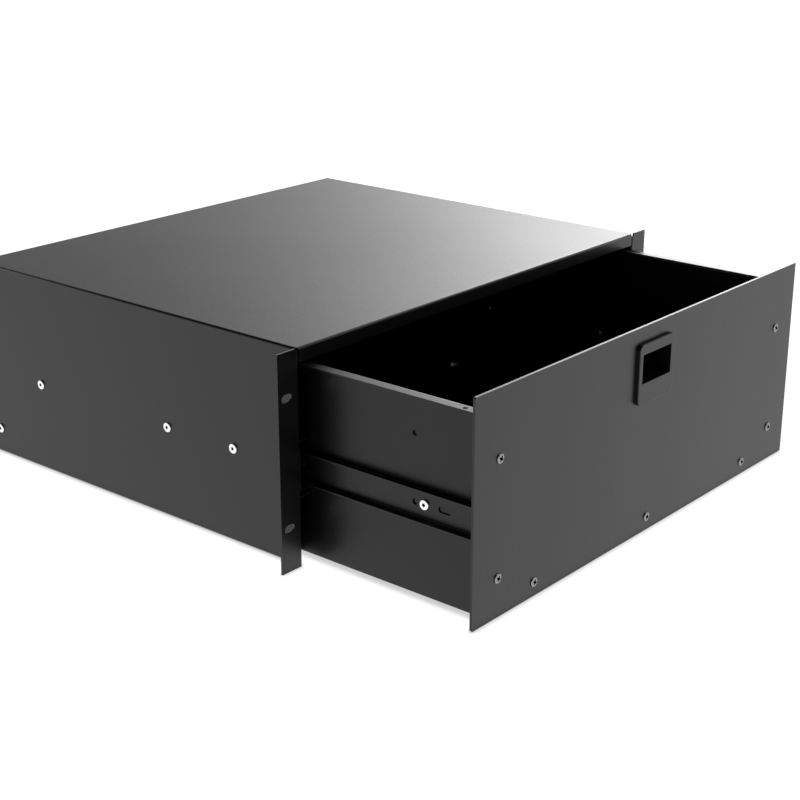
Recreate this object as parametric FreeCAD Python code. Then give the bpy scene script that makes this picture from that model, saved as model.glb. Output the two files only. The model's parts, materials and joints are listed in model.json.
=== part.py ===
import FreeCAD, Part
import os
import math

from FreeCAD import Vector as V

# Sliding rack drawer, four units high, black powder-coated sheet steel.
#
# Frame: +X to the right as seen by a person who stands in front of the rack,
# +Y towards the back of the rack, +Z up.  The origin is the centre of the four
# rack slots, on the rear (mounting) face of the two rack ears.  The drawer is
# stored part open, as far as OPEN below says.
#
# Heights in the dimensions below are counted from the lower edge of the
# chassis; z(h) turns such a height into the Z of the frame.

# ---------------------------------------------------------------- dimensions
# chassis
RACK_W = 482.6            # over the ears (19 inch)
CH_W = 442.6              # over the side walls
CH_H = 171.0              # height of chassis and ears
CH_D = 375.0              # depth, ear front face to rear edge
T_CH = 1.5                # chassis sheet
R_BEND = 0.3              # inner bend radius of the chassis sheet
RET_X = 208.5             # inner edge of the bottom return flanges
RET_Y0 = 18.0             # front end of the bottom return flanges
LIP_H = 10.9              # front lip of the top
LIP_HALF = 219.2          # half length of the lip
SLOT_DX = 465.1           # rack slot pattern
SLOT_DZ = 101.6
SLOT_R = 3.4
SLOT_L = 10.2
PATTERN_H = 85.3          # height of the pattern's centre

# slides (three-section ball-bearing slides)
SL_LEN = 350.0
SL_T = 12.7               # space between chassis wall and drawer wall
SL_H = 76.2               # height of the slide centre line
SL_Y0 = 1.5               # front end, all members closed
BALL_R = 2.25
BALL_CL = 0.04            # running clearance of a ball in its groove
IN_HALF = 12.6            # inner member, half height
IN_DEPTH = 7.2
IN_T = 1.2
MID_IN = 16.08            # middle member, inner half height
MID_T = 1.3
OUT_IN = 21.36            # outer member, inner half height
OUT_T = 1.4
Z_BALL_IN = 14.09         # ball centre lines
Z_BALL_OUT = 19.37
U_BALL_IN = 8.3           # measured from the chassis wall
U_BALL_OUT = 6.6
CAGE_T = 0.6
CAGE_LEN = 150.0
CAGE_Y0 = 100.0           # from the slide's front end, closed
BALLS_PER_ROW = 8
BALL_PITCH = 18.0

# drawer
OPEN = 158.1              # how far the stored drawer is open
T_FACE = 2.0
FACE_W = 444.8
FACE_H0 = 0.5             # lower edge of the face panel
FACE_H1 = 171.3
FACE_GAP = 1.2            # face panel to ears, closed
T_DR = 1.2                # drawer sheet
R_DR = 0.6
DR_HALF = CH_W / 2.0 - T_CH - SL_T      # outer face of the drawer wall (207.1)
DR_BOT = 3.9
DR_TOP = 157.5
FL_HALF = 215.3           # outer edge of the drawer's top flanges
DR_LEN = 355.8

# latch
LX = -1.4                 # latch centre in X
BZ_HALF = 24.3            # bezel half width
BZ_H0, BZ_H1 = 110.2, 158.7
BZ_OUT = 3.0              # how far the bezel stands proud
BZ_R = 5.0
REC_HALF = 19.9           # finger recess
REC_H0, REC_H1 = 127.3, 150.3
CUP_HALF = 21.15
CUP_H0, CUP_H1 = 114.9, 155.7
CUP_D = 26.0
PIV_W, PIV_H = 16.0, 156.5
PIN_R = 1.5

# derived
Y_EAR = -T_CH                           # front face of the ears
Y_REAR = Y_EAR + CH_D                   # rear edge of the chassis
FACE_BACK_CLOSED = Y_EAR - FACE_GAP
YB = FACE_BACK_CLOSED - OPEN            # back of the face panel, as stored
YF = YB - T_FACE                        # front of the face panel
CH_IN = CH_W / 2.0 - T_CH               # inner face of the chassis wall (219.8)


def z(h):
    return h - PATTERN_H


# ------------------------------------------------------------------- helpers
def box(x0, x1, y0, y1, z0, z1):
    x0, x1 = min(x0, x1), max(x0, x1)
    y0, y1 = min(y0, y1), max(y0, y1)
    z0, z1 = min(z0, z1), max(z0, z1)
    return Part.makeBox(x1 - x0, y1 - y0, z1 - z0, V(x0, y0, z0))


def cyl(r, p, d, h):
    return Part.makeCylinder(r, h, V(*p), V(*d))


def place(plane, a, b, c):
    # plane names the two axes of the 2-D points; c is the third coordinate
    if plane == "XY":
        return V(a, b, c)
    if plane == "XZ":
        return V(a, c, b)
    return V(c, a, b)                   # "YZ"


def filleted_chain(pts, radii, plane, c, closed):
    # straight runs with rounded corners; returns edges and the end points
    n = len(pts)
    starts, ends, arcs = [], [], []
    for i in range(n):
        p = pts[i]
        r = radii[i]
        if (not closed and i in (0, n - 1)) or r <= 1e-6:
            starts.append(p)
            ends.append(p)
            arcs.append(None)
            continue
        a = pts[(i - 1) % n]
        b = pts[(i + 1) % n]
        ua = (a[0] - p[0], a[1] - p[1])
        ub = (b[0] - p[0], b[1] - p[1])
        la = math.hypot(*ua)
        lb = math.hypot(*ub)
        ua = (ua[0] / la, ua[1] / la)
        ub = (ub[0] / lb, ub[1] / lb)
        cosphi = max(-1.0, min(1.0, ua[0] * ub[0] + ua[1] * ub[1]))
        half = math.acos(cosphi) / 2.0
        t = r / math.tan(half)
        p1 = (p[0] + ua[0] * t, p[1] + ua[1] * t)
        p2 = (p[0] + ub[0] * t, p[1] + ub[1] * t)
        bis = (ua[0] + ub[0], ua[1] + ub[1])
        lbis = math.hypot(*bis)
        d = r / math.sin(half)
        cen = (p[0] + bis[0] / lbis * d, p[1] + bis[1] / lbis * d)
        mid = (cen[0] - bis[0] / lbis * r, cen[1] - bis[1] / lbis * r)
        starts.append(p1)
        ends.append(p2)
        arcs.append(mid)
    edges = []
    m = n if closed else n - 1
    for i in range(n):
        if arcs[i] is not None:
            edges.append(Part.Arc(place(plane, starts[i][0], starts[i][1], c),
                                  place(plane, arcs[i][0], arcs[i][1], c),
                                  place(plane, ends[i][0], ends[i][1], c)).toShape())
        if i < m:
            j = (i + 1) % n
            pa = place(plane, ends[i][0], ends[i][1], c)
            pb = place(plane, starts[j][0], starts[j][1], c)
            if pa.distanceToPoint(pb) > 1e-5:
                edges.append(Part.LineSegment(pa, pb).toShape())
    return edges


def prism(pts, radii, plane, c0, c1):
    edges = filleted_chain(pts, radii, plane, c0, True)
    wire = Part.Wire(Part.__sortEdges__(edges))
    face = Part.Face(wire)
    return face.extrude(place(plane, 0, 0, c1 - c0))


def folded(line, t, r_in, plane, c0, c1):
    # sheet of thickness t folded along the centre line 'line'
    n = len(line)
    left, right, rl, rr = [], [], [], []
    for i in range(n):
        if i == 0 or i == n - 1:
            j = 0 if i == 0 else n - 2
            dx = line[j + 1][0] - line[j][0]
            dy = line[j + 1][1] - line[j][1]
            l = math.hypot(dx, dy)
            nx, ny = -dy / l, dx / l
            left.append((line[i][0] + nx * t / 2, line[i][1] + ny * t / 2))
            right.append((line[i][0] - nx * t / 2, line[i][1] - ny * t / 2))
            rl.append(0)
            rr.append(0)
        else:
            d1 = (line[i][0] - line[i - 1][0], line[i][1] - line[i - 1][1])
            d2 = (line[i + 1][0] - line[i][0], line[i + 1][1] - line[i][1])
            l1, l2 = math.hypot(*d1), math.hypot(*d2)
            n1 = (-d1[1] / l1, d1[0] / l1)
            n2 = (-d2[1] / l2, d2[0] / l2)
            s = (n1[0] + n2[0], n1[1] + n2[1])
            k = (t / 2) / ((s[0] * n1[0] + s[1] * n1[1]))
            off = (s[0] * k, s[1] * k)
            left.append((line[i][0] + off[0], line[i][1] + off[1]))
            right.append((line[i][0] - off[0], line[i][1] - off[1]))
            turn = d1[0] * d2[1] - d1[1] * d2[0]
            if turn > 0:                # turning left: the left side is the inner side
                rl.append(r_in)
                rr.append(r_in + t)
            else:
                rl.append(r_in + t)
                rr.append(r_in)
    pts = left + right[::-1]
    radii = rl + rr[::-1]
    return prism(pts, radii, plane, c0, c1)


def revolve_x(profile, y, zz, x0, sgn):
    # profile: list of (axial, radius) points, with optional arcs; axis along X
    wire = Part.makePolygon([V(x0 + sgn * a, y, zz + r) for a, r in profile] +
                            [V(x0 + sgn * profile[0][0], y, zz + profile[0][1])])
    return Part.Face(wire).revolve(V(x0, y, zz), V(1, 0, 0), 360)


def mirror(s):
    return s.mirror(V(0, 0, 0), V(1, 0, 0))


def fuse(*shapes):
    s = shapes[0]
    rest = list(shapes[1:])
    if rest:
        s = s.fuse(rest)
    return s.removeSplitter()


def group(shapes):
    return Part.makeCompound(shapes)


def first_solid(s):
    return s.Solids[0] if len(s.Solids) == 1 else s


def dome_head(r, rim, h, flat, n=7):
    # (axial, radius) points of a domed screw head, from its seat to its crown
    pts = [(0.0, 0.0), (0.0, r - 0.25), (0.15, r), (rim, r)]
    for i in range(1, n + 1):
        a = math.pi / 2 * i / n
        rr = flat + (r - flat) * math.cos(a)
        hh = rim + (h - rim) * math.sin(a)
        pts.append((hh, rr))
    pts.append((h, 0.0))
    return pts


def hex_prism(af, p, axis, depth):
    rc = af / math.sqrt(3.0)
    pts = []
    for i in range(7):
        a = math.radians(60 * i + 30)
        c, s = rc * math.cos(a), rc * math.sin(a)
        if axis == "X":
            pts.append(V(p[0], p[1] + c, p[2] + s))
        else:
            pts.append(V(p[0] + c, p[1], p[2] + s))
    f = Part.Face(Part.makePolygon(pts))
    return f.extrude(V(depth, 0, 0) if axis == "X" else V(0, depth, 0))


def button_screw_x(y, zz, seat, sgn, shank_r, length, r=4.0, h=1.3, af=2.5):
    # low flat head on the side sgn of the seat plane, shank the other way
    head = revolve_x(dome_head(r, 0.75, h, 3.3), y, zz, seat, sgn)
    shank = cyl(shank_r, (seat, y, zz), (-sgn, 0, 0), length)
    s = head.fuse(shank)
    sock = hex_prism(af, (seat + sgn * (h + 0.1), y, zz), "X", -sgn * 1.45)
    return s.cut(sock)


def phillips_screw_y(x, zz, seat, length, r=3.7, h=1.25):
    prof = dome_head(r, 0.5, h, 1.9)
    wire = Part.makePolygon([V(x + rr, seat - a, zz) for a, rr in prof] +
                            [V(x + prof[0][1], seat - prof[0][0], zz)])
    head = Part.Face(wire).revolve(V(x, seat, zz), V(0, 1, 0), 360)
    s = head.fuse(cyl(2.0, (x, seat, zz), (0, 1, 0), length))
    ang = 28.0
    top = seat - h - 0.05
    tools = []
    for k in (0, 90):
        w0, w1, d = 2.35, 1.35, 1.75
        t = 0.62
        pts = [V(-w0, 0, 0), V(w0, 0, 0), V(w1, d, 0), V(-w1, d, 0), V(-w0, 0, 0)]
        blade = Part.Face(Part.makePolygon(pts)).extrude(V(0, 0, 2 * t))
        blade.translate(V(0, 0, -t))
        blade.rotate(V(0, 0, 0), V(0, 1, 0), k + ang)
        blade.translate(V(x, top, zz))
        tools.append(blade)
    cone = Part.makeCone(1.45, 0.7, 1.9, V(x, top, zz), V(0, 1, 0))
    return s.cut(tools[0].fuse([tools[1], cone]))


parts = {}

# ------------------------------------------------------------ chassis: shell
# one folded sheet: two side walls, the top, two ears and the front lip
w2 = CH_W / 2.0 - T_CH / 2.0
r_out = R_BEND + T_CH
y_u = Y_EAR + r_out
u_front = folded([(-w2, z(0)), (-w2, z(CH_H - T_CH / 2)), (w2, z(CH_H - T_CH / 2)), (w2, z(0))],
                 T_CH, R_BEND, "XZ", y_u, RET_Y0)
u_main = folded([(-RET_X, z(T_CH / 2)), (-w2, z(T_CH / 2)), (-w2, z(CH_H - T_CH / 2)),
                 (w2, z(CH_H - T_CH / 2)), (w2, z(T_CH / 2)), (RET_X, z(T_CH / 2))],
                T_CH, R_BEND, "XZ", RET_Y0, Y_REAR)
ear_l = folded([(-w2, y_u), (-w2, Y_EAR + T_CH / 2), (-RACK_W / 2, Y_EAR + T_CH / 2)],
               T_CH, R_BEND, "XY", z(0), z(CH_H))
ear_l = ear_l.cut(box(-223.2, -219.0, Y_EAR - 1, y_u + 0.0, z(CH_H - 2.4), z(CH_H + 1)))
ear_r = mirror(ear_l)
lip = folded([(y_u, z(CH_H - T_CH / 2)), (Y_EAR + T_CH / 2, z(CH_H - T_CH / 2)),
              (Y_EAR + T_CH / 2, z(CH_H - LIP_H))],
             T_CH, R_BEND, "YZ", -LIP_HALF, LIP_HALF)
shell = fuse(u_main, u_front, ear_l, ear_r, lip)
tools = []
for sx in (-1, 1):
    for sz in (-1, 1):
        cx = sx * SLOT_DX / 2
        cz = sz * SLOT_DZ / 2
        a = SLOT_L / 2 - SLOT_R
        t = cyl(SLOT_R, (cx - a, Y_EAR - 1, cz), (0, 1, 0), T_CH + 2)
        t = t.fuse([cyl(SLOT_R, (cx + a, Y_EAR - 1, cz), (0, 1, 0), T_CH + 2),
                    box(cx - a, cx + a, Y_EAR - 1, Y_EAR + T_CH + 1, cz - SLOT_R, cz + SLOT_R)])
        tools.append(t)
WALL_SCREW_Y = (66.9, 140.3, 297.3)
WALL_SCREW_H = (77.4, 76.6, 76.5)
REAR_SCREW_Y = 359.5
REAR_SCREW_H = (22.2, 148.4)
for sx in (-1, 1):
    for y, h in zip(WALL_SCREW_Y, WALL_SCREW_H):
        tools.append(cyl(2.15, (sx * 230, y, z(h)), (-sx, 0, 0), 20))
    for h in REAR_SCREW_H:
        tools.append(cyl(2.15, (sx * 230, REAR_SCREW_Y, z(h)), (-sx, 0, 0), 20))
shell = shell.cut(tools[0].multiFuse(tools[1:]))
parts["chassis_shell"] = shell

# ------------------------------------------------------- chassis: rear panel
RP_Y0 = 353.0
yr = Y_REAR - T_CH / 2
rp = folded([(-(CH_IN - T_CH / 2), RP_Y0), (-(CH_IN - T_CH / 2), yr), (CH_IN - T_CH / 2, yr),
             (CH_IN - T_CH / 2, RP_Y0)], T_CH, 1.0, "XY", z(2.4), z(CH_H - 1.8))
rpb = folded([(RP_Y0, z(T_CH / 2)), (yr, z(T_CH / 2)), (yr, z(8.0))], T_CH, 1.0, "YZ", -206.5, 206.5)
rear_panel = fuse(rp, rpb)
tools = []
for sx in (-1, 1):
    for h in REAR_SCREW_H:
        tools.append(cyl(2.7, (sx * 222, REAR_SCREW_Y, z(h)), (-sx, 0, 0), 8))
rear_panel = rear_panel.cut(tools[0].multiFuse(tools[1:]))
parts["rear_panel"] = rear_panel

screws, nuts = [], []
for sx in (-1, 1):
    for h in REAR_SCREW_H:
        screws.append(button_screw_x(REAR_SCREW_Y, z(h), sx * CH_W / 2, sx, 2.0, 6.4))
        n = cyl(3.9, (sx * (CH_IN - T_CH), REAR_SCREW_Y, z(h)), (-sx, 0, 0), 2.8)
        n = n.fuse(cyl(2.7, (sx * CH_IN, REAR_SCREW_Y, z(h)), (-sx, 0, 0), T_CH + 0.1))
        n = n.cut(cyl(2.0, (sx * 222, REAR_SCREW_Y, z(h)), (-sx, 0, 0), 12))
        nuts.append(n.removeSplitter())
parts["rear_panel_screws"] = group(screws)
parts["rear_panel_nuts"] = group(nuts)

screws = []
for sx in (-1, 1):
    for y, h in zip(WALL_SCREW_Y, WALL_SCREW_H):
        screws.append(button_screw_x(y, z(h), sx * CH_W / 2, sx, 2.0, T_CH + 1.18))
parts["chassis_slide_screws"] = group(screws)

# -------------------------------------------------------------------- slides
# profiles are drawn for the left side: u is counted from the chassis wall
# towards the drawer, so X = -(CH_IN - u)
zc = z(SL_H)


def xu(u):
    return -(CH_IN - u)


def channel(u_web0, u_web1, half_in, t_fl, u_tip, r_in, y0, y1):
    # channel with its web at u_web0..u_web1 and flanges out to u_tip;
    # centre line folded sheet, web and flanges of about the same thickness
    t = t_fl
    um = (u_web0 + u_web1) / 2.0
    hm = half_in + t / 2.0
    s = folded([(xu(u_tip), zc - hm), (xu(um), zc - hm), (xu(um), zc + hm), (xu(u_tip), zc + hm)],
               t, r_in, "XZ", y0, y1)
    return s


def grooves(u, zb, r, y0, y1):
    return [cyl(r, (xu(u), y0 - 1, zc + zb), (0, 1, 0), y1 - y0 + 2),
            cyl(r, (xu(u), y0 - 1, zc - zb), (0, 1, 0), y1 - y0 + 2)]


GR = BALL_R + BALL_CL

# outer (cabinet) member, fixed to the chassis wall
oy0, oy1 = SL_Y0, SL_Y0 + SL_LEN
outer = channel(0.0, OUT_T, OUT_IN, OUT_T, 11.4, 0.8, oy0, oy1)
outer = outer.cut(box(xu(1.2), xu(OUT_T + 0.1), oy0 - 1, oy1 + 1, zc - 19.5, zc + 19.5))
g = grooves(U_BALL_OUT, Z_BALL_OUT, GR, oy0, oy1)
outer = outer.cut(g[0].fuse(g[1]))
tools = []
for y, h in zip(WALL_SCREW_Y, WALL_SCREW_H):
    tools.append(cyl(2.0, (xu(-1), y, z(h)), (1, 0, 0), 4))
for y in (40.0, 105.0, 200.0, 330.0):
    t = cyl(2.6, (xu(-1), y, zc), (1, 0, 0), 4)
    tools.append(t)
outer = outer.cut(tools[0].multiFuse(tools[1:]))
parts["slide_outer_left"] = outer
parts["slide_outer_right"] = mirror(outer)

# rubber bumper at the rear end of each outer member
b = box(xu(1.2), xu(4.9), oy1 - 3.5, oy1, zc - 9, zc + 9)
b = b.makeFillet(0.6, [e for e in b.Edges if abs(e.tangentAt(e.FirstParameter).x) > 0.9])
parts["slide_rear_bumpers"] = group([b, mirror(b)])

# middle member
MID_Y1 = oy1 - 4.0
middle = channel(2.4, 2.4 + MID_T, MID_IN, MID_T, 11.2, 0.7, oy0, MID_Y1)
middle = middle.cut(box(xu(3.6), xu(3.8), oy0 - 1, MID_Y1 + 1, zc - 14.5, zc + 14.5))
g = grooves(U_BALL_OUT, Z_BALL_OUT, GR, oy0, MID_Y1) + grooves(U_BALL_IN, Z_BALL_IN, GR, oy0, MID_Y1)
middle = middle.cut(g[0].multiFuse(g[1:]))
tools = []
for y in (30.0, 120.0, 250.0):
    tools.append(cyl(4.5, (xu(1.0), y, zc), (1, 0, 0), 5))
middle = middle.cut(tools[0].multiFuse(tools[1:]))
parts["slide_middle_left"] = middle
parts["slide_middle_right"] = mirror(middle)

# inner (drawer) member: channel that opens outwards, with a pressed ball
# groove along each flange
iy0, iy1 = SL_Y0 - OPEN, SL_Y0 - OPEN + SL_LEN


def xv(v):
    # v is counted from the drawer wall outwards
    return -(DR_HALF + v)


hm = IN_HALF - IN_T / 2
inner = folded([(xv(IN_DEPTH), zc - hm), (xv(IN_T / 2), zc - hm), (xv(IN_T / 2), zc + hm),
                (xv(IN_DEPTH), zc + hm)], IN_T, 0.8, "XZ", iy0, iy1)
vb = SL_T - U_BALL_IN
for s in (-1, 1):
    ridge = cyl(GR + IN_T, (xv(vb), iy0, zc + s * Z_BALL_IN), (0, 1, 0), iy1 - iy0)
    keep = box(xv(IN_DEPTH), xv(IN_T), iy0, iy1, min(zc + s * (IN_HALF - 2.4), zc + s * (IN_HALF - 0.3)),
               max(zc + s * (IN_HALF - 2.4), zc + s * (IN_HALF - 0.3)))
    inner = inner.fuse(ridge.common(keep))
inner = inner.removeSplitter()
g = grooves(U_BALL_IN, Z_BALL_IN, GR, iy0, iy1)
inner = inner.cut(g[0].fuse(g[1]))
DR_SCREW_Y = (-109.4, 18.6, 146.6)
HOLE2_Y = -100.7
tools = []
for y in DR_SCREW_Y:
    tools.append(cyl(2.2, (xv(3), y, zc), (1, 0, 0), 5))
for y in (HOLE2_Y, HOLE2_Y + 128.0, HOLE2_Y + 256.0):
    tools.append(cyl(2.5, (xv(3), y, zc), (1, 0, 0), 5))
for y in (-121.4, 6.6, 134.6):
    ya, yb_ = y - 2.3, y - 8.8
    t = cyl(2.3, (xv(3), ya, zc), (1, 0, 0), 5)
    t = t.fuse([cyl(2.3, (xv(3), yb_, zc), (1, 0, 0), 5),
                box(xv(3), xv(-2), yb_, ya, zc - 2.3, zc + 2.3)])
    tools.append(t)
inner = inner.cut(tools[0].multiFuse(tools[1:]))
parts["slide_inner_left"] = inner
parts["slide_inner_right"] = mirror(inner)

# ball cages: a thin channel each, with a row of balls in each flange
c1 = SL_Y0 + CAGE_Y0                       # outer cage, slide closed
c2 = SL_Y0 + CAGE_Y0 - OPEN / 2.0          # inner cage follows the drawer at half its travel


def cage(u0, zb, u_tip, u_ball, y0):
    hm = zb
    um = u0 + CAGE_T / 2
    s = folded([(xu(u_tip), zc - hm), (xu(um), zc - hm), (xu(um), zc + hm), (xu(u_tip), zc + hm)],
               CAGE_T, 0.4, "XZ", y0, y0 + CAGE_LEN)
    balls, tools = [], []
    for i in range(BALLS_PER_ROW):
        y = y0 + (CAGE_LEN - BALL_PITCH * (BALLS_PER_ROW - 1)) / 2 + BALL_PITCH * i
        for sg in (-1, 1):
            balls.append(Part.makeSphere(BALL_R, V(xu(u_ball), y, zc + sg * zb)))
            tools.append(cyl(BALL_R + 0.1, (xu(u_ball), y, zc + sg * (zb - 1)), (0, 0, sg), 2.0))
    # oval windows in the web
    for i in range(3):
        y = y0 + 30 + 45 * i
        tools.append(cyl(6.0, (xu(u0 - 1), y, zc), (1, 0, 0), 3))
    s = s.cut(tools[0].multiFuse(tools[1:]))
    return s, balls


oc, ob = cage(1.5, Z_BALL_OUT, 9.6, U_BALL_OUT, c1)
ic, ib = cage(4.0, Z_BALL_IN, 10.6, U_BALL_IN, c2)
parts["outer_cage_left"] = oc
parts["outer_cage_right"] = mirror(oc)
parts["inner_cage_left"] = ic
parts["inner_cage_right"] = mirror(ic)
parts["outer_balls_left"] = group(ob)
parts["outer_balls_right"] = group([mirror(b_) for b_ in ob])
parts["inner_balls_left"] = group(ib)
parts["inner_balls_right"] = group([mirror(b_) for b_ in ib])

# -------------------------------------------------------------- drawer: side
dm = DR_HALF - T_DR / 2
Y1 = YB + 0.3
Y2 = YB + DR_LEN
ro = R_DR + T_DR
side = folded([(-FL_HALF, z(DR_TOP - T_DR / 2)), (-dm, z(DR_TOP - T_DR / 2)),
               (-dm, z(DR_BOT + T_DR / 2)), (-187.0, z(DR_BOT + T_DR / 2))],
              T_DR, R_DR, "XZ", Y1, Y2)
FFL_H0, FFL_H1 = 9.0, 150.0
side = side.cut(box(-DR_HALF - 1, -DR_HALF + T_DR + 0.2, Y1 - 1, YB + ro, z(FFL_H0 - 0.5), z(FFL_H1 + 0.5)))
ffl = folded([(-dm, YB + ro), (-dm, YB + T_DR / 2), (-184.0, YB + T_DR / 2)],
             T_DR, R_DR, "XY", z(FFL_H0), z(FFL_H1))
side = fuse(side, ffl)
BLANK_Y = (-99.4, 28.6)
BLANK_H = 127.0
SIDE_RIV_Y = Y2 - 8.8
SIDE_RIV_H = (35.0, 127.0)
FLOOR_RIV_Y = (-120.0, 20.0, 150.0)
FLOOR_RIV_X = 196.5
FACE_SCREW_SIDE = ((194.0, 120.3), (194.0, 30.9))
FACE_SCREW_BOT = (-150.3, 0.0, 150.3)
FACE_SCREW_BOT_H = 11.8
tools = [cyl(1.8, (-211.7, -146.4, z(DR_TOP - 4)), (0, 0, 1), 8)]
for y in BLANK_Y:
    tools.append(cyl(2.25, (-212, y, z(BLANK_H)), (1, 0, 0), 10))
for y in DR_SCREW_Y:
    tools.append(cyl(2.15, (-212, y, zc), (1, 0, 0), 10))
for h in SIDE_RIV_H:
    tools.append(cyl(1.6, (-212, SIDE_RIV_Y, z(h)), (1, 0, 0), 10))
for y in FLOOR_RIV_Y:
    tools.append(cyl(1.6, (-FLOOR_RIV_X, y, z(DR_BOT - 2)), (0, 0, 1), 5))
for x, h in FACE_SCREW_SIDE:
    tools.append(cyl(2.7, (-x, YB - 1, z(h)), (0, 1, 0), 4))
side = side.cut(tools[0].multiFuse(tools[1:]))
parts["drawer_side_left"] = side
parts["drawer_side_right"] = mirror(side)

# ------------------------------------------------------------- drawer: floor
zf = z(DR_BOT + T_DR + T_DR / 2)
yfl = YB + T_DR / 2
ybk = Y2 - T_DR - T_DR / 2                  # rear flange, in front of the back
FL_UP = 22.0
floor = folded([(yfl, z(FL_UP)), (yfl, zf), (YB + 60, zf)], T_DR, R_DR, "YZ", -181.5, 181.5)
floor_r = folded([(YB + 60, zf), (ybk, zf), (ybk, z(FL_UP))], T_DR, R_DR, "YZ", -198.0, 198.0)
plate = box(-205.1, 205.1, YB + 2.2, Y2 - 2 * T_DR - 2.0, zf - T_DR / 2, zf + T_DR / 2)
floor = fuse(floor, floor_r, plate)
BACK_RIV_X = (-188.0, -63.0, 63.0, 188.0)
BACK_RIV_H = 13.6
tools = []
for x in FACE_SCREW_BOT:
    tools.append(cyl(2.7, (x, YB - 1, z(FACE_SCREW_BOT_H)), (0, 1, 0), 4))
for x in BACK_RIV_X:
    tools.append(cyl(1.6, (x, Y2 - 6, z(BACK_RIV_H)), (0, 1, 0), 8))
for sx in (-1, 1):
    for y in FLOOR_RIV_Y:
        tools.append(cyl(1.6, (sx * FLOOR_RIV_X, y, z(DR_BOT - 2)), (0, 0, 1), 8))
floor = floor.cut(tools[0].multiFuse(tools[1:]))
parts["drawer_floor"] = floor

# -------------------------------------------------------------- drawer: back
xb = DR_HALF - T_DR - T_DR / 2
ybm = Y2 - T_DR / 2
back = folded([(-xb, Y2 - 15.0), (-xb, ybm), (xb, ybm), (xb, Y2 - 15.0)], T_DR, R_DR, "XY",
              z(9.0), z(150.0))
back2 = folded([(ybm, z(7.0)), (ybm, z(DR_TOP - T_DR / 2)), (ybm + 8.6, z(DR_TOP - T_DR / 2))],
               T_DR, R_DR, "YZ", -202.0, 202.0)
back = fuse(back, back2)
tools = []
for x in BACK_RIV_X:
    tools.append(cyl(1.6, (x, Y2 - 6, z(BACK_RIV_H)), (0, 1, 0), 8))
for sx in (-1, 1):
    for h in SIDE_RIV_H:
        tools.append(cyl(1.6, (sx * 212, SIDE_RIV_Y, z(h)), (-sx, 0, 0), 12))
back = back.cut(tools[0].multiFuse(tools[1:]))
parts["drawer_back"] = back


# ------------------------------------------------------------ drawer: rivets
def rivet(p, d, grip, head_r=2.6, head_h=0.9, tail_h=1.0):
    # domed head before the point p, shank along d through the grip, then the tail
    dv = V(*d)
    pv = V(*p)
    sh = Part.makeCylinder(1.6, grip, pv, dv)
    a = Part.makeCone(head_r, head_r * 0.55, head_h, pv, dv * -1)
    b_ = Part.makeCone(2.3, 1.7, tail_h, pv + dv * grip, dv)
    return sh.fuse([a, b_]).removeSplitter()


rivets = []
for x in BACK_RIV_X:
    rivets.append(rivet((x, Y2 - 2 * T_DR, z(BACK_RIV_H)), (0, 1, 0), 2 * T_DR))
for sx in (-1, 1):
    for h in SIDE_RIV_H:
        rivets.append(rivet((sx * (DR_HALF - 2 * T_DR), SIDE_RIV_Y, z(h)), (sx, 0, 0), 2 * T_DR))
    for y in FLOOR_RIV_Y:
        rivets.append(rivet((sx * FLOOR_RIV_X, y, z(DR_BOT + 2 * T_DR)), (0, 0, -1), 2 * T_DR))
parts["drawer_rivets"] = group(rivets)

# painted blanks behind the spare holes of the drawer sides
blanks = []
for sx in (-1, 1):
    for y in BLANK_Y:
        blanks.append(cyl(3.6, (sx * (DR_HALF - T_DR), y, z(BLANK_H)), (-sx, 0, 0), 1.4))
parts["side_hole_blanks"] = group(blanks)

# ------------------------------------------- screws and nuts of the slides
screws, nuts = [], []
for sx in (-1, 1):
    for y in DR_SCREW_Y:
        screws.append(button_screw_x(y, zc, sx * (DR_HALF + IN_T), sx, 2.0, 6.6, h=1.5, af=2.6))
        xin = DR_HALF - T_DR
        n = hex_prism(7.0, (sx * xin, y, zc), "X", -sx * 3.0)
        n = n.cut(cyl(2.0, (sx * (xin + 1), y, zc), (-sx, 0, 0), 6))
        nuts.append(n)
parts["drawer_slide_screws"] = group(screws)
parts["drawer_slide_nuts"] = group(nuts)

# ---------------------------------------------------------------- face panel
face = box(-FACE_W / 2, FACE_W / 2, YF, YB, z(FACE_H0), z(FACE_H1))
face = face.makeFillet(1.2, [e for e in face.Edges if abs(e.tangentAt(e.FirstParameter).y) > 0.9])
CO_HALF = CUP_HALF + 0.25
cut = box(LX - CO_HALF, LX + CO_HALF, YF - 1, YB + 1, z(CUP_H0 - 0.3), z(CUP_H1 + 0.3))
cut = cut.makeFillet(2.0, [e for e in cut.Edges if abs(e.tangentAt(e.FirstParameter).y) > 0.9])
tools = [cut]
face_pts = []
for x, h in FACE_SCREW_SIDE:
    face_pts += [(-x, h), (x, h)]
face_pts += [(x, FACE_SCREW_BOT_H) for x in FACE_SCREW_BOT]
for x, h in face_pts:
    tools.append(cyl(2.15, (x, YF - 1, z(h)), (0, 1, 0), 4))
face = face.cut(tools[0].multiFuse(tools[1:]))
parts["face_panel"] = face

screws, nuts = [], []
for x, h in face_pts:
    screws.append(phillips_screw_y(x, z(h), YF, 7.2))
    n = cyl(3.9, (x, YB + T_DR, z(h)), (0, 1, 0), 2.6)
    n = n.fuse(cyl(2.7, (x, YB, z(h)), (0, 1, 0), T_DR + 0.1))
    n = n.cut(cyl(2.0, (x, YB - 1, z(h)), (0, 1, 0), 8))
    nuts.append(n.removeSplitter())
parts["face_screws"] = group(screws)
parts["face_nuts"] = group(nuts)

bump = []
for x in (-150.0, 150.0):
    bump.append(cyl(4.4, (x, YB, z(165.4)), (0, 1, 0), 0.95))
parts["face_bumpers"] = group(bump)

# --------------------------------------------------------------------- latch
# housing: bezel outside, cup with the finger recess behind the face panel
yw = YB                                     # w = y - yw


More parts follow.
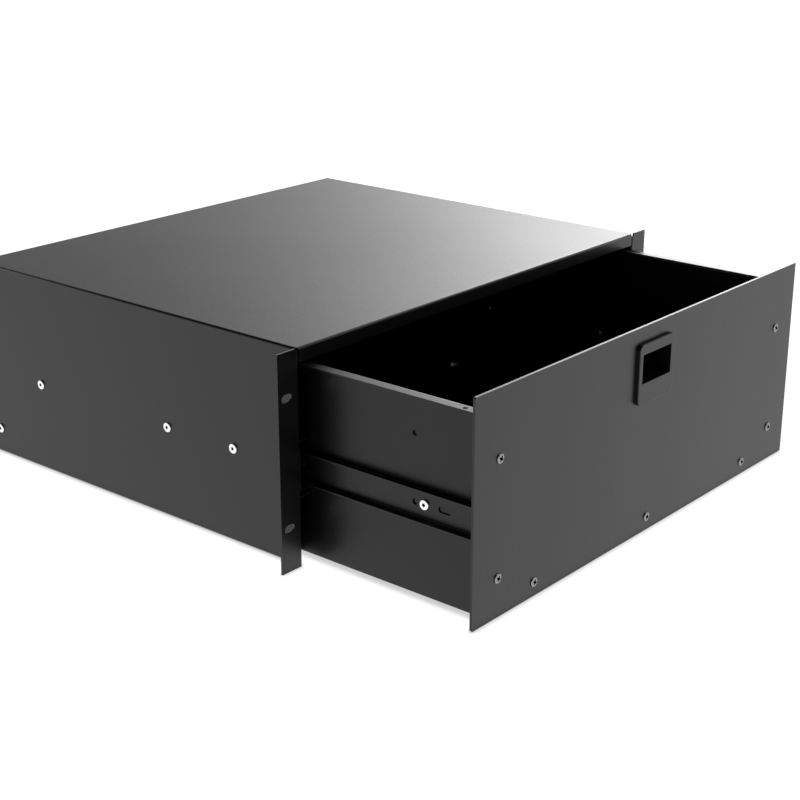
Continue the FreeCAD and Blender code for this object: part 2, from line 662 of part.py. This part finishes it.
def cornered(x0, x1, y0, y1, h0, h1, r):
    s = box(x0, x1, y0, y1, z(h0), z(h1))
    return s.makeFillet(r, [e for e in s.Edges if abs(e.tangentAt(e.FirstParameter).y) > 0.9])


bez = cornered(LX - BZ_HALF, LX + BZ_HALF, YF - BZ_OUT, YF, BZ_H0, BZ_H1, BZ_R)
edges = [e for e in bez.Edges if abs(e.BoundBox.YMin - (YF - BZ_OUT)) < 1e-3 and
         abs(e.BoundBox.YMax - (YF - BZ_OUT)) < 1e-3]
bez = bez.makeFillet(0.7, edges)
cup = cornered(LX - CUP_HALF, LX + CUP_HALF, YF - 0.5, yw + CUP_D, CUP_H0, CUP_H1, 1.8)
hs = bez.fuse(cup)
boss = []
for sx in (-1, 1):
    x0 = LX + sx * 9.3
    x1 = LX + sx * 12.3
    b1 = cyl(3.1, (min(x0, x1), yw + PIV_W, z(PIV_H)), (1, 0, 0), 3.0)
    b2 = box(min(x0, x1), max(x0, x1), yw + PIV_W - 3.1, yw + PIV_W + 3.1, z(CUP_H1 - 1.4), z(PIV_H))
    boss += [b1, b2]
hs = hs.fuse(boss)
hs = hs.removeSplitter()
opening = cornered(LX - REC_HALF, LX + REC_HALF, YF - BZ_OUT - 1, yw + 0.1, REC_H0, REC_H1, 0.8)
cavity = box(LX - REC_HALF, LX + REC_HALF, yw, yw + CUP_D - 1.5, z(REC_H0), z(CUP_H1 - 1.4))
roof = box(LX - 9.3, LX + 9.3, yw + 2.2, yw + CUP_D - 1.5, z(CUP_H1 - 2.4), z(CUP_H1 + 6))
pocket = box(LX - 19.3, LX + 19.3, YF - 0.6, yw + CUP_D + 1, z(CUP_H0 + 1.5), z(REC_H0 - 1.6))
pinh = cyl(PIN_R, (LX - 20, yw + PIV_W, z(PIV_H)), (1, 0, 0), 40)
tab_h = 135.0
side_screw = cyl(1.2, (LX - 30, yw + 5.0, z(tab_h)), (1, 0, 0), 60)
hs = hs.cut(opening.multiFuse([cavity, roof, pocket, pinh, side_screw]))
# shelf that carries the spring
shelf = box(LX - 3.4, LX + 3.4, yw - 1.0, yw + 10.0, z(149.4), z(150.6))
hs = hs.fuse(shelf).removeSplitter()
parts["latch_housing"] = hs

# back plate clamps the housing to the face panel
bp = cornered(LX - 28.0, LX + 28.0, yw, yw + 1.0, 108.5, 159.4, 3.0)
tabs = []
for sx in (-1, 1):
    xa = LX + sx * (CUP_HALF + 0.05)
    xb_ = LX + sx * (CUP_HALF + 1.05)
    tabs.append(box(min(xa, xb_), max(xa, xb_), yw, yw + 9.0, z(127.0), z(143.0)))
bp = bp.cut(box(LX - CUP_HALF - 0.05, LX + CUP_HALF + 0.05, yw - 1, yw + 2, z(CUP_H0 - 0.1), z(CUP_H1 + 0.1)))
bp = bp.fuse(tabs).removeSplitter()
# room for the pivot bosses and the lever is above the plate's window
bp = bp.cut(cyl(1.35, (LX - 30, yw + 5.0, z(tab_h)), (1, 0, 0), 60))
parts["latch_backplate"] = bp

scr = []
for sx in (-1, 1):
    x0 = LX + sx * (CUP_HALF + 1.05)
    head = Part.makeCone(2.6, 2.0, 1.3, V(x0, yw + 5.0, z(tab_h)), V(sx, 0, 0))
    shank = cyl(1.2, (x0, yw + 5.0, z(tab_h)), (-sx, 0, 0), 2.35)
    s = head.fuse(shank)
    s = s.cut(box(x0 + sx * 1.35 - 0.8, x0 + sx * 1.35 + 0.8, yw + 5.0 - 0.3, yw + 5.0 + 0.3,
                  z(tab_h) - 1.7, z(tab_h) + 1.7))
    scr.append(s)
parts["latch_screws"] = group(scr)

# lever: hook at the front, finger pad at the rear, turning on the pin
LV = 8.8
rel_r = math.hypot(PIV_W - 4.45, 163.6 - PIV_H)
h_low = 160.2
w_low = PIV_W - math.sqrt(rel_r ** 2 - (h_low - PIV_H) ** 2)
h_mid = 161.9
w_mid = PIV_W - math.sqrt(rel_r ** 2 - (h_mid - PIV_H) ** 2)


def pw(w, h, x=LX - LV):
    return V(x, yw + w, z(h))


pl = [(w_low, h_low), (w_low, 153.2), (4.2, 152.0), (12.6, 151.4), (14.0, 149.8), (21.0, 149.8),
      (21.6, 150.4), (21.6, 151.9), (19.6, 154.2), (19.6, 157.6), (18.4, 159.2), (12.4, 159.2),
      (5.6, 163.6), (4.45, 163.6)]
edges = [Part.LineSegment(pw(*pl[i]), pw(*pl[i + 1])).toShape() for i in range(len(pl) - 1)]
edges.append(Part.Arc(pw(*pl[-1]), pw(w_mid, h_mid), pw(*pl[0])).toShape())
lever = Part.Face(Part.Wire(edges)).extrude(V(2 * LV, 0, 0))
notch = box(LX - 4.2, LX + 4.2, yw + 3.6, yw + 11.0, z(148.0), z(156.6))
notch2 = box(LX - 4.2, LX + 4.2, yw + 0.0, yw + 11.0, z(148.0), z(155.6))
lever = lever.cut(notch.fuse([notch2, cyl(PIN_R + 0.05, (LX - 20, yw + PIV_W, z(PIV_H)), (1, 0, 0), 40)]))
parts["latch_lever"] = lever.removeSplitter()

parts["latch_pin"] = cyl(PIN_R, (LX - 12.3, yw + PIV_W, z(PIV_H)), (1, 0, 0), 24.6)

# compression spring between the shelf and the lever
SP_Z0, SP_Z1 = z(150.6) + 0.3, z(156.6) - 0.35
SP_R, SP_WIRE = 1.75, 0.5
n_turn = 4.0
pitch = (SP_Z1 - SP_Z0) / n_turn
helix = Part.makeHelix(pitch, SP_Z1 - SP_Z0, SP_R)
helix.translate(V(LX, yw + 7.2, SP_Z0))
prof = Part.Wire(Part.makeCircle(SP_WIRE / 2, V(LX + SP_R, yw + 7.2, SP_Z0), V(0, 1, 0)))
spring = Part.Wire(helix).makePipeShell([prof], True, True)
parts["latch_spring"] = spring

# --------------------------------------------------------------------- write
os.makedirs("parts", exist_ok=True)
for name in sorted(parts):
    s = parts[name]
    if s.ShapeType == "Compound" and len(s.Solids) == 1:
        s = s.Solids[0]
    s.exportStep("parts/%s.step" % name)
    bb = s.BoundBox
    print("%-24s solids %3d valid %s vol %10.2f  X %.2f..%.2f Y %.2f..%.2f Z %.2f..%.2f" % (
        name, len(s.Solids), s.isValid(), s.Volume, bb.XMin, bb.XMax, bb.YMin, bb.YMax, bb.ZMin, bb.ZMax))
print(len(parts), "nodes")
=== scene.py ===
import json
import math

import bpy
from mathutils import Matrix, Vector


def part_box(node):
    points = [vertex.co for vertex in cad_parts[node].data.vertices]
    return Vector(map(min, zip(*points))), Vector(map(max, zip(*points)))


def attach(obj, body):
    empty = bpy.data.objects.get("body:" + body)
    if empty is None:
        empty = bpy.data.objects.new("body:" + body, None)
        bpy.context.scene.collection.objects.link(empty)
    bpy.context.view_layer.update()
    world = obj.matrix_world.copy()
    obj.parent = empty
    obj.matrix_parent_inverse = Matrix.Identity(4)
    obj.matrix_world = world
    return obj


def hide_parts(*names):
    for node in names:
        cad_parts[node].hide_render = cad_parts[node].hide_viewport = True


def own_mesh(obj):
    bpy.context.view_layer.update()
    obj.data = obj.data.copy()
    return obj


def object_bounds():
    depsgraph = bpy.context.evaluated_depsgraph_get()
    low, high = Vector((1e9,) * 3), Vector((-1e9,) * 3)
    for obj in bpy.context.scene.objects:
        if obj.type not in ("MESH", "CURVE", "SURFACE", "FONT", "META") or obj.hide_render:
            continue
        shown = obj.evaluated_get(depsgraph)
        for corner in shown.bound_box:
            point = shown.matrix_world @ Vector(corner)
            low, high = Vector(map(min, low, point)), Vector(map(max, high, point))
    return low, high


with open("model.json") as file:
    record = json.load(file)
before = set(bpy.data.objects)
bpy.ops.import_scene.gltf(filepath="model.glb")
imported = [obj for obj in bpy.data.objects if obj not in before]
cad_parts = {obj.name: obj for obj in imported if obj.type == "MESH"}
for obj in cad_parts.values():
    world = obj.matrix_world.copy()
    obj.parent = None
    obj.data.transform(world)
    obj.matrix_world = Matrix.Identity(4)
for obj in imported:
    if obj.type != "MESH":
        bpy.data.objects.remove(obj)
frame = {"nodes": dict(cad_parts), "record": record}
cad_low, cad_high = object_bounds()
nodes = frame["nodes"]

scene = bpy.context.scene
scene.view_settings.view_transform = "Standard"
scene.view_settings.look = "None"
scene.view_settings.exposure = 0.0
scene.view_settings.gamma = 1.0

# ------------------------------------------------------------------- camera
cam_data = bpy.data.cameras.new("camera")
cam_data.lens = 72.535
cam_data.sensor_width = 36.0
cam_data.sensor_fit = "HORIZONTAL"
cam_data.clip_start = 0.01
cam_data.clip_end = 100.0
cam = bpy.data.objects.new("camera", cam_data)
scene.collection.objects.link(cam)
right = Vector((0.644368, -0.764715, 0.000253))
up = Vector((0.259183, 0.218706, 0.940740))
fwd = Vector((0.719454, 0.606117, -0.339128))
m = Matrix.Identity(4)
for i in range(3):
    m[i][0] = right[i]
    m[i][1] = up[i]
    m[i][2] = -fwd[i]
m[0][3], m[1][3], m[2][3] = -1.007663, -0.760169, 0.439854
cam.matrix_world = m
scene.camera = cam


# ------------------------------------------------------------- node helpers
def new_mat(name):
    mt = bpy.data.materials.new(name)
    mt.use_nodes = True
    nt = mt.node_tree
    nt.nodes.clear()
    out = nt.nodes.new("ShaderNodeOutputMaterial")
    return mt, nt, out


def node(nt, kind, **kw):
    n = nt.nodes.new(kind)
    for k, v in kw.items():
        setattr(n, k, v)
    return n


def obj_coord(nt):
    return node(nt, "ShaderNodeTexCoord").outputs["Object"]


def noise(nt, vec, scale, detail=2.0, rough=0.5, distortion=0.0):
    n = node(nt, "ShaderNodeTexNoise")
    n.inputs["Scale"].default_value = scale
    n.inputs["Detail"].default_value = detail
    n.inputs["Roughness"].default_value = rough
    n.inputs["Distortion"].default_value = distortion
    nt.links.new(vec, n.inputs["Vector"])
    return n.outputs["Fac"]


def ramp(nt, fac, lo, hi, a, b):
    n = node(nt, "ShaderNodeMapRange")
    n.inputs["From Min"].default_value = lo
    n.inputs["From Max"].default_value = hi
    n.inputs["To Min"].default_value = a
    n.inputs["To Max"].default_value = b
    nt.links.new(fac, n.inputs["Value"])
    return n.outputs["Result"]


def math_node(nt, op, a, b=None, clamp=False):
    n = node(nt, "ShaderNodeMath", operation=op, use_clamp=clamp)
    for i, v in enumerate((a, b)):
        if v is None:
            continue
        if isinstance(v, (int, float)):
            n.inputs[i].default_value = v
        else:
            nt.links.new(v, n.inputs[i])
    return n.outputs[0]


def mix_color(nt, fac, a, b):
    n = node(nt, "ShaderNodeMix", data_type="RGBA")
    nt.links.new(fac, n.inputs["Factor"])
    n.inputs["A"].default_value = (*a, 1.0)
    n.inputs["B"].default_value = (*b, 1.0)
    return n.outputs["Result"]


def bump(nt, height, strength, distance, prev=None):
    n = node(nt, "ShaderNodeBump")
    n.inputs["Strength"].default_value = strength
    n.inputs["Distance"].default_value = distance
    nt.links.new(height, n.inputs["Height"])
    if prev is not None:
        nt.links.new(prev, n.inputs["Normal"])
    return n.outputs["Normal"]


# ---------------------------------------------------------------- materials
def powder_coat(name, base, rough, grain=1.0, spec=0.5, top_sheen=0.0):
    """Baked powder coat: nearly black, satin, with a fine pebble and orange peel."""
    mt, nt, out = new_mat(name)
    vec = obj_coord(nt)
    b = node(nt, "ShaderNodeBsdfPrincipled")
    b.inputs["IOR"].default_value = 1.5
    b.inputs["Specular IOR Level"].default_value = spec
    b.inputs["Metallic"].default_value = 0.0
    fine = noise(nt, vec, 1500.0, 2.0, 0.6)
    pebble = noise(nt, vec, 520.0, 2.0, 0.55)
    peel = noise(nt, vec, 190.0, 1.0, 0.5)
    cloud = noise(nt, vec, 9.0, 3.0, 0.5)
    dark = tuple(c * 0.75 for c in base)
    light = tuple(c * 1.30 for c in base)
    paint = mix_color(nt, ramp(nt, fine, 0.30, 0.70, 0.0, 1.0), dark, light)
    if top_sheen > 0.0:
        # painted sheen: a lighter speckle painted on the faces turned upwards, standing in for the light the tops
        # catch
        sep_n = node(nt, "ShaderNodeSeparateXYZ")
        nt.links.new(node(nt, "ShaderNodeNewGeometry").outputs["True Normal"], sep_n.inputs[0])
        upward = ramp(nt, sep_n.outputs["Z"], 0.85, 0.99, 0.0, 1.0)
        speck = noise(nt, vec, 620.0, 2.0, 0.7)
        painted_sheen_mask = math_node(nt, "MULTIPLY", ramp(nt, speck, 0.34, 0.66, 0.0, 1.0), upward)
        tint = node(nt, "ShaderNodeMix", data_type="RGBA")
        nt.links.new(painted_sheen_mask, tint.inputs["Factor"])
        nt.links.new(paint, tint.inputs["A"])
        tint.inputs["B"].default_value = (top_sheen, top_sheen, top_sheen, 1.0)
        paint = tint.outputs["Result"]
    nt.links.new(paint, b.inputs["Base Color"])
    r1 = ramp(nt, fine, 0.25, 0.75, rough - 0.02 * grain, rough + 0.02 * grain)
    r2 = ramp(nt, cloud, 0.3, 0.7, -0.008, 0.008)
    nt.links.new(math_node(nt, "ADD", r1, r2), b.inputs["Roughness"])
    n1 = bump(nt, peel, 1.0, 0.00003 * grain)
    n2 = bump(nt, pebble, 1.0, 0.00006 * grain, n1)
    nt.links.new(n2, b.inputs["Normal"])
    nt.links.new(b.outputs["BSDF"], out.inputs["Surface"])
    return mt


def metal(name, color, rough, spec_var=0.06, recess=0.0, lo=0.45, hi=0.85):
    """Plated metal; recess is how near another face must be for painted shade to gather: the base colour is
    darkened towards black in the hollows.
    """
    mt, nt, out = new_mat(name)
    vec = obj_coord(nt)
    b = node(nt, "ShaderNodeBsdfPrincipled")
    b.inputs["Metallic"].default_value = 1.0
    n = noise(nt, vec, 1800.0, 3.0, 0.6)
    c2 = tuple(min(1.0, c * 1.06) for c in color)
    c1 = tuple(c * 0.90 for c in color)
    tone = mix_color(nt, n, c1, c2)
    if recess > 0.0:
        # painted shade: ambient occlusion darkens the base colour towards black in recesses
        hollow = node(nt, "ShaderNodeAmbientOcclusion")
        hollow.samples = 24
        hollow.only_local = True
        hollow.inputs["Distance"].default_value = recess
        recess_shade = node(nt, "ShaderNodeMix", data_type="RGBA")
        nt.links.new(ramp(nt, hollow.outputs["AO"], lo, hi, 0.0, 1.0), recess_shade.inputs["Factor"])
        recess_shade.inputs["A"].default_value = (0.004, 0.004, 0.004, 1.0)
        nt.links.new(tone, recess_shade.inputs["B"])
        tone = recess_shade.outputs["Result"]
    nt.links.new(tone, b.inputs["Base Color"])
    nt.links.new(ramp(nt, n, 0.3, 0.7, rough - spec_var, rough + spec_var), b.inputs["Roughness"])
    nt.links.new(bump(nt, n, 0.15, 0.00002), b.inputs["Normal"])
    nt.links.new(b.outputs["BSDF"], out.inputs["Surface"])
    return mt


def plastic(name, base, rough):
    mt, nt, out = new_mat(name)
    vec = obj_coord(nt)
    b = node(nt, "ShaderNodeBsdfPrincipled")
    b.inputs["IOR"].default_value = 1.5
    tex = noise(nt, vec, 2400.0, 2.0, 0.6)
    cloud = noise(nt, vec, 60.0, 2.0, 0.5)
    nt.links.new(mix_color(nt, cloud, tuple(c * 0.9 for c in base), tuple(c * 1.1 for c in base)),
                 b.inputs["Base Color"])
    nt.links.new(ramp(nt, tex, 0.3, 0.7, rough - 0.04, rough + 0.04), b.inputs["Roughness"])
    nt.links.new(bump(nt, tex, 0.35, 0.00003), b.inputs["Normal"])
    nt.links.new(b.outputs["BSDF"], out.inputs["Surface"])
    return mt


MAT = {
    # the chassis coat carries the painted sheen on its upward faces
    "powder_coat_chassis": powder_coat("powder_coat_chassis_look", (0.0012, 0.0012, 0.00125), 0.35, top_sheen=0.030),
    "powder_coat_drawer": powder_coat("powder_coat_drawer_look", (0.0012, 0.0012, 0.00125), 0.34, 1.0, 0.38),
    "powder_coat_face": powder_coat("powder_coat_face_look", (0.0014, 0.0014, 0.00145), 0.35),
    "black_slide": powder_coat("black_slide_look", (0.0012, 0.0012, 0.00125), 0.34, 0.4, 0.40),
    # the screw heads get painted shade in their recesses
    "zinc_screw": metal("zinc_screw_look", (0.97, 0.97, 0.96), 0.26, recess=0.0020),
    "black_screw": metal("black_screw_look", (0.30, 0.30, 0.305), 0.27, recess=0.0040, lo=0.87, hi=0.985),
    "zinc_steel": metal("zinc_steel_look", (0.60, 0.60, 0.58), 0.32),
    "rivet_black": plastic("rivet_black_look", (0.03, 0.03, 0.03), 0.35),
    "ball_steel": metal("ball_steel_look", (0.70, 0.70, 0.70), 0.08, spec_var=0.02),
    "latch_plastic": plastic("latch_plastic_look", (0.0012, 0.0012, 0.0012), 0.36),
    "rubber_black": plastic("rubber_black_look", (0.015, 0.015, 0.015), 0.65),
}

slot_of = {s["node"]: s["material_slot"] for s in frame["record"]["subparts"]}
for name, o in nodes.items():
    mt = MAT[slot_of[name]]
    if not o.data.materials:
        o.data.materials.append(mt)
    for i in range(len(o.material_slots)):
        o.material_slots[i].link = "OBJECT"
        o.material_slots[i].material = mt


# ------------------------------------------------------------ softened edges
def soften(name, width, segments=2, angle=38.0, clean=False):
    o = nodes[name]
    w = o.modifiers.new("weld", "WELD")
    w.merge_threshold = 0.000002
    if clean:
        d = o.modifiers.new("one_face_per_plane", "DECIMATE")
        d.decimate_type = "DISSOLVE"
        d.angle_limit = math.radians(0.3)
    b = o.modifiers.new("soft_edge", "BEVEL")
    b.width = width
    b.segments = segments
    b.limit_method = "ANGLE"
    b.angle_limit = math.radians(angle)
    b.use_clamp_overlap = True
    b.harden_normals = True


for n_ in ("chassis_shell", "rear_panel", "drawer_side_left", "drawer_side_right",
           "drawer_floor", "drawer_back", "face_panel"):
    soften(n_, 0.0002, clean=n_.startswith("drawer_side"))
for n_ in ("slide_inner_left", "slide_inner_right", "slide_middle_left", "slide_middle_right",
           "slide_outer_left", "slide_outer_right"):
    soften(n_, 0.00012, 1)

# ------------------------------------------------------------- latch spring
def coil_spring(name, lo, hi, wire, sides=10, per_turn=30):
    """Round-wire compression spring with a closed turn at each end."""
    cx, cy = (lo.x + hi.x) / 2.0, (lo.y + hi.y) / 2.0
    r = (hi.x - lo.x) / 2.0 - wire
    za, zb = lo.z + wire, hi.z - wire
    steps = [(0.0, 0.0), (1.0, 1.7 * wire), (4.0, zb - za - 1.7 * wire), (5.0, zb - za)]
    n = 5 * per_turn
    pts = []
    for i in range(n + 1):
        t = 5.0 * i / n
        for (t0, h0), (t1, h1) in zip(steps, steps[1:]):
            if t <= t1 + 1e-9:
                h = h0 + (h1 - h0) * (t - t0) / (t1 - t0)
                break
        a = 2.0 * math.pi * t
        pts.append(Vector((cx + r * math.cos(a), cy + r * math.sin(a), za + h)))
    verts, faces = [], []
    for i, p in enumerate(pts):
        tan = (pts[min(i + 1, n)] - pts[max(i - 1, 0)]).normalized()
        radial = Vector((p.x - cx, p.y - cy, 0.0)).normalized()
        radial = (radial - tan * radial.dot(tan)).normalized()
        binormal = tan.cross(radial)
        for k in range(sides):
            b = 2.0 * math.pi * k / sides
            verts.append(p + (radial * math.cos(b) + binormal * math.sin(b)) * wire)
    for i in range(n):
        for k in range(sides):
            a0, a1 = i * sides + k, i * sides + (k + 1) % sides
            faces.append((a0, a1, a1 + sides, a0 + sides))
    faces.append(tuple(reversed(range(sides))))
    faces.append(tuple(n * sides + k for k in range(sides)))
    me = bpy.data.meshes.new(name)
    me.from_pydata([tuple(v) for v in verts], [], faces)
    me.validate()
    for poly in me.polygons:
        poly.use_smooth = len(poly.vertices) == 4
    o = bpy.data.objects.new(name, me)
    scene.collection.objects.link(o)
    return o


sp_lo, sp_hi = (Vector(v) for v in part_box("latch_spring"))
spring = coil_spring("latch_spring_coil", sp_lo, sp_hi, 0.00025)
spring.data.materials.append(MAT["zinc_steel"])
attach(spring, "drawer")
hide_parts("latch_spring")
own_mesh(spring)

# --------------------------------------------------------------- the studio
z0 = cad_low.z
FLOOR_LEVEL = 1.04


def plane(name, cx, cy, z, sx, sy):
    me = bpy.data.meshes.new(name)
    me.from_pydata([(cx - sx, cy - sy, z), (cx + sx, cy - sy, z), (cx + sx, cy + sy, z), (cx - sx, cy + sy, z)],
                   [], [(0, 1, 2, 3)])
    o = bpy.data.objects.new(name, me)
    scene.collection.objects.link(o)
    return o


floor = plane("studio_floor", 0.0, 0.0, z0 - 0.0001, 9.0, 9.0)
mt, nt, out = new_mat("studio_floor_look")
sepp = node(nt, "ShaderNodeSeparateXYZ")
nt.links.new(node(nt, "ShaderNodeNewGeometry").outputs["Position"], sepp.inputs[0])
# painted light: the floor's glow rises towards +X; painted contact shadow: ambient occlusion darkens the glow
# next to the object
level = ramp(nt, sepp.outputs["X"], -0.5, 0.8, FLOOR_LEVEL * 0.97, FLOOR_LEVEL * 1.08)
ao = node(nt, "ShaderNodeAmbientOcclusion")
ao.samples = 12
ao.inputs["Distance"].default_value = 0.006
shade = ramp(nt, ao.outputs["AO"], 0.30, 0.95, 0.45, 1.0)
em = node(nt, "ShaderNodeEmission")
em.inputs["Color"].default_value = (1.0, 1.0, 1.0, 1.0)
nt.links.new(math_node(nt, "MULTIPLY", shade, level), em.inputs["Strength"])
df = node(nt, "ShaderNodeBsdfDiffuse")
df.inputs["Color"].default_value = (0.10, 0.10, 0.10, 1.0)
add = node(nt, "ShaderNodeAddShader")
nt.links.new(em.outputs["Emission"], add.inputs[0])
nt.links.new(df.outputs["BSDF"], add.inputs[1])
nt.links.new(add.outputs["Shader"], out.inputs["Surface"])
floor.data.materials.append(mt)


# Soft studio light: one long soft source low on the right, fading round the
# back, under a dark ceiling.
AZIMUTH = [(-180.0, 0.02), (-60.0, 0.04), (-30.0, 0.06), (-8.0, 0.12), (4.0, 0.8), (12.0, 3.0), (20.0, 6.0), (24.0, 6.8), (28.5, 6.2),
           (32.3, 4.5), (33.6, 3.9), (35.3, 3.15), (37.0, 2.35), (39.0, 1.60), (40.0, 1.32), (42.0, 0.88),
           (44.0, 0.55), (46.0, 0.38), (48.0, 0.26), (50.0, 0.18), (52.0, 0.13), (55.0, 0.11), (90.0, 0.08),
           (180.0, 0.02)]
ELEVATION = [(-90.0, 1.0), (34.0, 1.0), (40.0, 0.6), (45.0, 0.10), (50.0, 0.01), (90.0, 0.004)]
HORIZON = [(-90.0, 1.0), (0.0, 1.0), (5.0, 0.80), (10.0, 0.45), (15.0, 0.24), (20.0, 0.13), (28.0, 0.05), (40.0, 0.01), (90.0, 0.005)]
TOP_AZIMUTH = [(-180.0, 0.02), (-100.0, 0.05), (-75.0, 0.6), (-50.0, 1.0), (-10.0, 1.0), (6.0, 0.7), (25.0, 0.15),
               (60.0, 0.05), (180.0, 0.02)]
TOP_ELEVATION = [(-90.0, 0.0), (30.0, 0.0), (36.0, 0.25), (42.0, 0.9), (50.0, 1.0), (62.0, 0.7), (75.0, 0.2), (90.0, 0.1)]
TOP_LEVEL = 2.0
PEAK = 10.0


def curve_ramp(nt, fac, points, lo, hi, peak):
    n = node(nt, "ShaderNodeValToRGB")
    cr = n.color_ramp
    cr.interpolation = "LINEAR"
    while len(cr.elements) < len(points):
        cr.elements.new(1.0)
    for e, (x, y) in zip(cr.elements, sorted(points)):
        e.position = (x - lo) / (hi - lo)
        v = y / peak
        e.color = (v, v, v, 1.0)
    nt.links.new(ramp(nt, fac, lo, hi, 0.0, 1.0), n.inputs["Fac"])
    return n.outputs["Color"]


world = bpy.data.worlds.new("studio")
scene.world = world
world.use_nodes = True
wn = world.node_tree
wn.nodes.clear()
wo = wn.nodes.new("ShaderNodeOutputWorld")
bg = wn.nodes.new("ShaderNodeBackground")
bg.inputs["Color"].default_value = (1.0, 1.0, 1.0, 1.0)
sep = node(wn, "ShaderNodeSeparateXYZ")
wn.links.new(node(wn, "ShaderNodeTexCoord").outputs["Generated"], sep.inputs[0])
azim = math_node(wn, "MULTIPLY", math_node(wn, "ARCTAN2", sep.outputs["Y"], sep.outputs["X"]), 180.0 / math.pi)
elev = math_node(wn, "MULTIPLY", math_node(wn, "ARCSINE", sep.outputs["Z"]), 180.0 / math.pi)
la = curve_ramp(wn, azim, AZIMUTH, -180.0, 180.0, PEAK)
le = curve_ramp(wn, elev, ELEVATION, -90.0, 90.0, 1.0)
light = math_node(wn, "MULTIPLY", math_node(wn, "MULTIPLY", la, le), PEAK)
glow = curve_ramp(wn, elev, HORIZON, -90.0, 90.0, 1.0)
ta = curve_ramp(wn, azim, TOP_AZIMUTH, -180.0, 180.0, 1.0)
te = curve_ramp(wn, elev, TOP_ELEVATION, -90.0, 90.0, 1.0)
overhead = math_node(wn, "MULTIPLY", math_node(wn, "MULTIPLY", ta, te), TOP_LEVEL)
wn.links.new(math_node(wn, "ADD", math_node(wn, "ADD", light, glow), overhead), bg.inputs["Strength"])
wn.links.new(bg.outputs["Background"], wo.inputs["Surface"])

bpy.context.view_layer.update()
